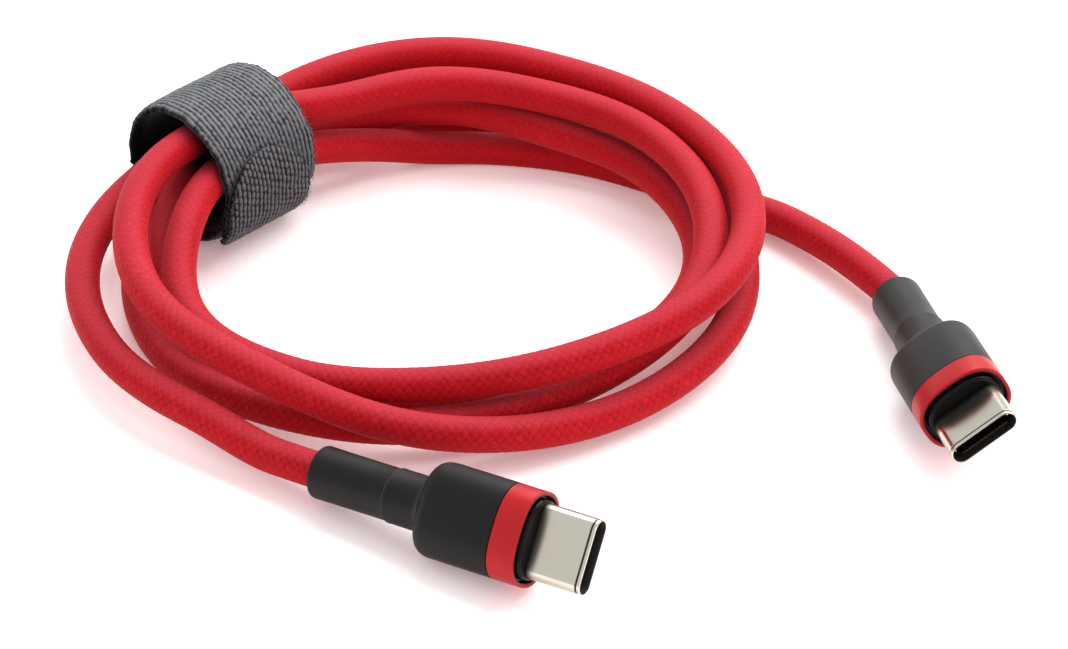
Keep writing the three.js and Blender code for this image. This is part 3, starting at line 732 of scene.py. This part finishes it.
def tape_fibres(name, angle_range, top, count, tab):
    """Hairs, six in ten along the cut edges of the tape and the others over its face."""
    roots, ways = [], []
    for _ in range(count):
        angle = dice.uniform(*angle_range)
        on_edge = dice.random() < 0.6
        half = STRAP_WIDTH / 2
        if tab:
            half = TAB_HALF * math.sqrt(1 - past_round(angle, TAB_HALF) ** 2)
        side = dice.choice([-1, 1], p=[0.4, 0.6])
        along = side * half if on_edge else dice.uniform(-half, half)
        along += tab_askew(angle) if tab else 0
        growth = top - (dice.uniform(0, 0.5) if on_edge else 0.1)
        here = strap_point(np.array(angle), growth, along)
        out = strap_point(np.array(angle), growth + 1, along) - here
        edge = strap_point(np.array(angle), growth, along + side) - here
        way = out * dice.uniform(0.2, 1) + (edge * dice.uniform(0.4, 1.2) if on_edge else 0)
        way = way + dice.normal(size=3) * HAIR_BEND
        if here[2] >= LOWEST_HAIR:
            roots.append(here)
            ways.append(way)
    return fibres(name, roots, ways)


band_fuzz = tape_fibres("strap_band_fuzz", (-75, 250), STRAP_THICK, 900, False)
tab_fuzz = tape_fibres("strap_tab_fuzz", (TAB_FROM + 3, TAB_TO - 1), TAB_INNER + TAB_THICK, 500, True)


# ---- floor and light

def add_floor():
    """The table that the cable lies on."""
    bpy.ops.object.select_all(action="DESELECT")
    bpy.ops.mesh.primitive_plane_add(size=12)
    floor = bpy.context.object
    floor.name = floor.data.name = "floor"
    return floor


def add_light(name, at, size, power, target=(0, 0, 0.005)):
    """A soft rectangle of white light, turned to the target."""
    data = bpy.data.lights.new(name, "AREA")
    data.shape = "RECTANGLE"
    data.size, data.size_y = size
    data.energy = power
    light = bpy.data.objects.new(name, data)
    bpy.context.collection.objects.link(light)
    light.location = at
    light.rotation_euler = (Vector(target) - Vector(at)).to_track_quat("-Z", "Y").to_euler()


def add_world(strength):
    """Even white light from all round."""
    world = bpy.data.worlds.new("studio")
    bpy.context.scene.world = world
    world.use_nodes = True
    sky = world.node_tree.nodes["Background"].inputs
    sky["Color"].default_value = (1, 1, 1, 1)
    sky["Strength"].default_value = strength


floor = add_floor()
add_world(1.0)
add_light("key", at=(0.3, 0.45, 0.75), size=(1.2, 0.8), power=13.0)
add_light("fill", at=(0.36, -0.3, 0.12), size=(0.3, 0.2), power=0.4, target=(0.05, -0.02, 0.01))
bpy.context.scene.view_settings.view_transform = "Standard"


# ---- materials

class Wire:
    """A value in a material. Arithmetic on it adds the Math nodes."""

    def __init__(self, finish, socket):
        self.finish, self.socket = finish, socket

    def math(self, operation, *values):
        return self.finish.add("ShaderNodeMath", {"operation": operation}, dict(enumerate(values)))

    def __add__(self, other):
        return self.math("ADD", self, other)

    def __sub__(self, other):
        return self.math("SUBTRACT", self, other)

    def __mul__(self, other):
        return self.math("MULTIPLY", self, other)

    def __pow__(self, other):
        return self.math("POWER", self, other)

    def __rsub__(self, other):
        return self.math("SUBTRACT", other, self)

    __radd__ = __add__
    __rmul__ = __mul__

    def sin(self):
        return self.math("SINE", self)

    def abs(self):
        return self.math("ABSOLUTE", self)

    def floor(self):
        return self.math("FLOOR", self)

    def fract(self):
        return self.math("FRACT", self)

    def ramp(self, low, high):
        """0 at low, 1 at high, eased between."""
        return self.finish.add("ShaderNodeMapRange", {"interpolation_type": "SMOOTHSTEP"},
                               {"Value": self, "From Min": low, "From Max": high})


class Finish:
    """A material named for what it is on, with one shader."""

    def __init__(self, name, **constants):
        self.material = bpy.data.materials.new(name)
        self.material.use_nodes = True
        self.tree = self.material.node_tree
        self.shader = self.tree.nodes["Principled BSDF"]
        for key, value in constants.items():
            self.put(key.replace("_", " ").title().replace("Ior", "IOR"), value)

    def put(self, socket, value):
        """A value, colour or wire into a socket of the shader."""
        self._feed(self.shader.inputs[socket], value)

    def add(self, kind, settings=None, inputs=None, output=0):
        """Any node: its settings, what goes into its sockets, and the socket to read."""
        node = self.tree.nodes.new(kind)
        for key, value in (settings or {}).items():
            setattr(node, key, value)
        for key, value in (inputs or {}).items():
            self._feed(node.inputs[key], value)
        return Wire(self, node.outputs[output])

    def _feed(self, socket, value):
        if isinstance(value, Wire):
            self.tree.links.new(value.socket, socket)
        elif isinstance(value, tuple) and len(value) == 3 and socket.type == "RGBA":
            socket.default_value = (*value, 1)
        else:
            socket.default_value = value

    def place(self):
        return self.add("ShaderNodeTexCoord", output="Object")

    def own(self):
        """The place on the piece as it was drawn, along the plug's own axis in millimetres."""
        return self.add("ShaderNodeAttribute", {"attribute_name": "own"}, output="Vector")

    def value_of(self, name):
        return self.add("ShaderNodeAttribute", {"attribute_name": name}, output="Fac")

    def sheet_place(self):
        """Millimetres along the piece and across or round it."""
        uv = self.add("ShaderNodeUVMap", {"uv_map": "UVMap"})
        return self.split(uv)

    def split(self, vector):
        node = self.tree.nodes.new("ShaderNodeSeparateXYZ")
        self.tree.links.new(vector.socket, node.inputs[0])
        return [Wire(self, out) for out in node.outputs]

    def merge(self, x, y):
        return self.add("ShaderNodeCombineXYZ", None, {0: x, 1: y})

    def noise(self, where, scale, detail=2.0, roughness=0.5):
        return self.add("ShaderNodeTexNoise", None,
                        {"Vector": where, "Scale": scale, "Detail": detail, "Roughness": roughness})

    def mix(self, share, first, second):
        """The first colour, passing into the second as the share goes from 0 to 1."""
        return self.add("ShaderNodeMix", {"data_type": "RGBA"},
                        {0: share, 6: first, 7: second}, output=2)

    def bump(self, height, distance, strength):
        self.put("Normal", self.add("ShaderNodeBump", None, {
            "Height": height, "Distance": distance, "Strength": strength}))


def braid_finish():
    """Plump red floats in a staggered lattice, plainest on the far side of the coil; painted highlight
    on top, painted shade below, painted shadow in the strap.
    """
    shadow_red, red, pale_fleck = (0.255, 0.0012, 0.0036), (0.50, 0.0070, 0.0135), (0.70, 0.045, 0.055)
    painted_highlight_red, painted_underside_shade, painted_strap_shadow = (0.43, 0.045, 0.070), (0.33, 0.0006, 0.0022), (0.02, 0.001, 0.0015)
    f = Finish("red_braid", specular_ior_level=0.08, sheen_weight=0.06, sheen_roughness=0.5,
               sheen_tint=(1.0, 0.4, 0.5))
    u, v, _ = f.sheet_place()
    _, far, _ = f.split(f.place())
    relief = 1 - far.ramp(-0.02, 0.05) * 0.6
    where = f.merge(u, v)
    wander = f.noise(where, 0.9, 3.0, 0.6) - 0.5
    along, around = u * (1 / FLOAT_LONG), v * (FLOATS / CORD_ROUND)
    p, q = along + around + wander * 0.8, along - around + wander * 0.8
    rise = ((p.fract() * math.pi).sin() * (q.fract() * math.pi).sin()) ** 0.5
    tone = f.noise(f.merge(p.floor() * 3.7, q.floor() * 5.3), 1.0, 0.0) - 0.5
    fleck = f.noise(where, 3.4, 4.0, 0.75) - 0.5
    cloud = f.noise(where, 0.07, 2.0) - 0.5
    crease = (1 - rise.ramp(0.0, 0.7)) * relief
    shade = 0.57 - crease * 0.42 + fleck * 1.5 + tone * relief * 0.35 + cloud * 0.3
    colour = f.mix(shade.ramp(0.0, 1.0), shadow_red, red)
    light = (fleck + tone * 0.25 + cloud * 0.3).ramp(0.07, 0.3) * relief
    colour = f.mix(light * 0.35, colour, pale_fleck)
    uprightness = (v * (2 * math.pi / CORD_ROUND)).sin()
    # the top of the cord is painted paler and pinker: a painted highlight
    colour = f.mix(uprightness.ramp(0.6, 1.0) * 0.35, colour, painted_highlight_red)
    # the underside of the cord is painted darker: painted shade
    colour = f.mix((1 - uprightness.ramp(-0.6, 0.5)) * 0.6, colour, painted_underside_shade)
    # within the strap the cord is painted near black: a painted shadow, deeper further in
    f.put("Base Color", f.mix(f.value_of("depth").ramp(-0.9, 2.2), colour, painted_strap_shadow))
    f.put("Roughness", fleck * 0.15 + 0.62)
    f.bump(rise * relief * 0.5 + fleck * 1.2, 0.0001, 0.55)
    return f.material


def tape_finish():
    """Grey loops on a dark ground, black on the inner side, painted lighter toward the top as painted
    light, and darker at the cut edges; the free end's darker edge is a painted shadow line.
    """
    shaded_loop, lit_loop = (0.108, 0.114, 0.120), (0.175, 0.187, 0.193)
    shaded_ground, lit_ground = (0.014, 0.007, 0.012), (0.035, 0.027, 0.034)
    inner_black = (0.0016, 0.0012, 0.0016)
    f = Finish("grey_loop_tape", roughness=0.85, specular_ior_level=0.03, sheen_weight=0.12,
               sheen_roughness=0.4)
    pile, outside = f.value_of("pile"), f.value_of("outside")
    u, v, _ = f.sheet_place()
    where = f.merge(u, v)
    fleck = f.noise(where, 5.0, 3.0, 0.6)
    cloud = f.noise(where, 0.3, 2.0)
    loop = (pile + fleck * 0.6 + cloud * 0.4 - 0.5).ramp(0.05, 0.8)
    _, _, height = f.split(f.place())
    lit = height.ramp(0.009, 0.019)
    loops = f.mix(lit, shaded_loop, lit_loop)
    ground = f.mix(lit, shaded_ground, lit_ground)
    f.put("Base Color", f.mix(outside, inner_black, f.mix(loop, ground, loops)))
    f.bump(fleck, 0.00008, 0.6)
    return f.material


def fuzz_finish():
    """Grey hairs, some darker than others."""
    f = Finish("loose_pile", roughness=0.8, specular_ior_level=0.2)
    tone = f.noise(f.place(), 900.0)
    f.put("Base Color", f.mix(tone, (0.05, 0.05, 0.055), (0.2, 0.2, 0.19)))
    return f.material


def body_finish():
    """Soft-touch charcoal with a fine moulded grain, lighter along the neck's step and with a painted
    highlight along the fillet at the body's rear.

    It is paler toward the right plug, a painted light where the photograph has more light.
    """
    charcoal, charcoal_light = (0.0055, 0.0048, 0.0049), (0.0075, 0.0067, 0.0068)
    painted_light_charcoal, step_line_and_highlight_grey = (0.024, 0.0225, 0.022), (0.035, 0.033, 0.033)
    f = Finish("soft_touch_charcoal", specular_ior_level=0.17)
    own = f.own()
    x, _, _ = f.split(own)
    east, _, _ = f.split(f.place())
    grain = f.noise(own, 9.0, 3.0, 0.6)
    cloud = f.noise(own, 0.5, 2.0)
    colour = f.mix(cloud, charcoal, charcoal_light)
    # paler toward the right plug: painted light
    colour = f.mix(east.ramp(0.015, 0.045), colour, painted_light_charcoal)
    # a lighter line along the neck's step, and a painted highlight along the fillet where the neck
    # meets the body
    off_step = (x - (BODY_REAR - NECK_LENGTH)).abs()
    off_root = (x - (BODY_REAR + 0.1)).abs()
    step_line_and_highlight = (1 - off_step.ramp(0.05, 0.17)) * 0.8 + (1 - off_root.ramp(0.1, 0.4)) * 0.4
    f.put("Base Color", f.mix(step_line_and_highlight * (grain * 0.6 + 0.4), colour, step_line_and_highlight_grey))
    f.put("Roughness", grain * 0.12 + 0.42)
    f.bump(grain, 0.00002, 0.25)
    return f.material


def ring_finish():
    """Satin red metal, with painted shade on its inner wall."""
    f = Finish("red_trim_metal", metallic=0.3, specular_ior_level=0.2)
    own, inner = f.own(), f.value_of("inner")
    grain = f.noise(own, 14.0, 2.0)
    cloud = f.noise(own, 0.7, 1.0)
    red = f.mix(cloud, (0.36, 0.0095, 0.013), (0.41, 0.0125, 0.016))
    # the inner wall is painted dark: painted shade
    f.put("Base Color", f.mix(inner, red, (0.07, 0.003, 0.0035)))
    f.put("Roughness", grain * 0.08 + 0.36)
    f.bump(grain, 0.000012, 0.3)
    return f.material


def gloss_finish():
    """Polished black resin with a trace of dust."""
    f = Finish("gloss_black", specular_ior_level=0.12)
    dust = f.noise(f.own(), 3.0, 3.0)
    f.put("Base Color", f.mix(dust, (0.0022, 0.0016, 0.0016), (0.004, 0.003, 0.003)))
    f.put("Roughness", dust * 0.06 + 0.16)
    return f.material


def shell_finish():
    """Polished nickel, with painted shade within the mouth and in the groove behind the lip, and a
    painted reflection of the plug's black front at its root.

    The painted reflection is longer on the right plug.
    """
    nickel, bright_nickel = (0.525, 0.50, 0.42), (0.56, 0.535, 0.45)
    painted_reflection_dark, painted_recess_shade = (0.03, 0.026, 0.022), (0.006, 0.005, 0.005)
    f = Finish("satin_nickel")
    own, inner = f.own(), f.value_of("inner")
    x, _, _ = f.split(own)
    east, _, _ = f.split(f.place())
    grain = f.noise(own, 8.0, 2.0)
    # the root is painted dark, a painted reflection of the black front, reaching further on the right
    # plug
    root_end = east.ramp(0.015, 0.03) * 0.6 + (BEZEL_FACE + 1.4)
    root = 1 - x.ramp(BEZEL_FACE - 0.3, root_end)
    # inside the mouth and in the groove the metal is painted near black: painted shade
    dark = f.mix(inner, painted_reflection_dark, painted_recess_shade)
    f.put("Base Color", f.mix(root * (1 - inner) + inner, f.mix(grain, nickel, bright_nickel), dark))
    f.put("Metallic", 1 - inner)
    f.put("Roughness", grain * 0.05 + inner * 0.4 + root * 0.2 + 0.17)
    f.bump(grain, 0.000004, 0.2)
    return f.material


def metal_finish(name, colour, rough):
    """Bare metal with a fine grain."""
    f = Finish(name, metallic=1.0)
    grain = f.noise(f.place(), 700.0, 2.0)
    f.put("Base Color", f.mix(grain, tuple(0.93 * c for c in colour), colour))
    f.put("Roughness", grain * 0.06 + rough)
    f.bump(grain, 0.000004, 0.2)
    return f.material


def plain_finish(name, colour, rough):
    """Moulded resin, rubber or board, with a fine grain."""
    f = Finish(name)
    grain = f.noise(f.place(), 900.0, 2.0)
    f.put("Base Color", f.mix(grain, tuple(0.85 * c for c in colour), colour))
    f.put("Roughness", grain * 0.1 + rough)
    f.bump(grain, 0.00001, 0.2)
    return f.material


def floor_finish():
    """A white table, its shadows lifted by a faint warm glow."""
    f = Finish("white_table", roughness=0.85, specular_ior_level=0.1,
               emission_color=(0.25, 0.15, 0.155), emission_strength=1.0)
    grain = f.noise(f.place(), 60.0, 2.0)
    f.put("Base Color", f.mix(grain, (0.93, 0.93, 0.93), (0.94, 0.94, 0.94)))
    return f.material


def dress(piece, material):
    """The material in place of all others."""
    piece.data.materials.clear()
    piece.data.materials.append(material)


BRAID = braid_finish()
TAPE = tape_finish()
FUZZ = fuzz_finish()
CHARCOAL = body_finish()
RED_METAL = ring_finish()
GLOSS = gloss_finish()
NICKEL = shell_finish()
STEEL = metal_finish("spring_steel", (0.55, 0.56, 0.58), 0.28)
# the gold is dimmed near to black: painted shade within the mouth
SHADED_GOLD = metal_finish("contact_gold_painted_shade", (0.08, 0.05, 0.022), 0.35)
RESIN = plain_finish("black_resin", (0.003, 0.003, 0.003), 0.6)
JACKET = plain_finish("inner_jacket", (0.02, 0.02, 0.022), 0.5)
BOARD = plain_finish("green_board", (0.015, 0.10, 0.04), 0.4)
TABLE = floor_finish()

dress(floor, TABLE)
dress(cord, BRAID)
dress(strap_band, TAPE)
dress(strap_tab, TAPE)
dress(band_fuzz, FUZZ)
dress(tab_fuzz, FUZZ)
LOOKS = {
    "plug_body": (CHARCOAL, "soft_black"),
    "trim_ring": (RED_METAL, "red_metal"),
    "front_bezel": (GLOSS, "gloss_black"),
    "plug_shell": (NICKEL, "nickel"),
    "strain_relief": (CHARCOAL, "soft_black"),
    "upper_wafer": (RESIN, "resin"),
    "lower_wafer": (RESIN, "resin"),
    "upper_contacts": (SHADED_GOLD, "gold"),
    "lower_contacts": (SHADED_GOLD, "gold"),
}
WAFERS = ("upper_wafer", "lower_wafer")     # in the CAD each is one node with its contacts
for (side, part), piece in plugs.items():
    material, slot_name = LOOKS[part]
    dress(piece, material)
    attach(piece, "cable")
    if part not in WAFERS:
        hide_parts(f"{side}_{part}")

# the nodes within each plug, which stay as they are in the CAD
INSIDE = {"latch_spring": STEEL, "upper_ground_spring": STEEL, "lower_ground_spring": STEEL,
          "paddle_card": BOARD, "shield_can": STEEL, "inner_mould": RESIN,
          "crimp_ferrule": STEEL, "cable_core": JACKET}
for side in PLUGS:
    for node, material in INSIDE.items():
        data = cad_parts[f"{side}_{node}"].data
        data.materials.clear()
        data.materials.append(material)


# ---- what each piece stands for and rides on

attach(cord, "cable")
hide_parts("cord_coil", "cord_left_tail", "cord_right_tail")
for piece in (strap_band, band_fuzz):
    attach(piece, "cable")
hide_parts("strap_band")
for piece in (strap_tab, tab_fuzz):
    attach(piece, "tab")
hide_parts("strap_tab")
right_plug = [piece for (side, _), piece in plugs.items() if side == "right"]
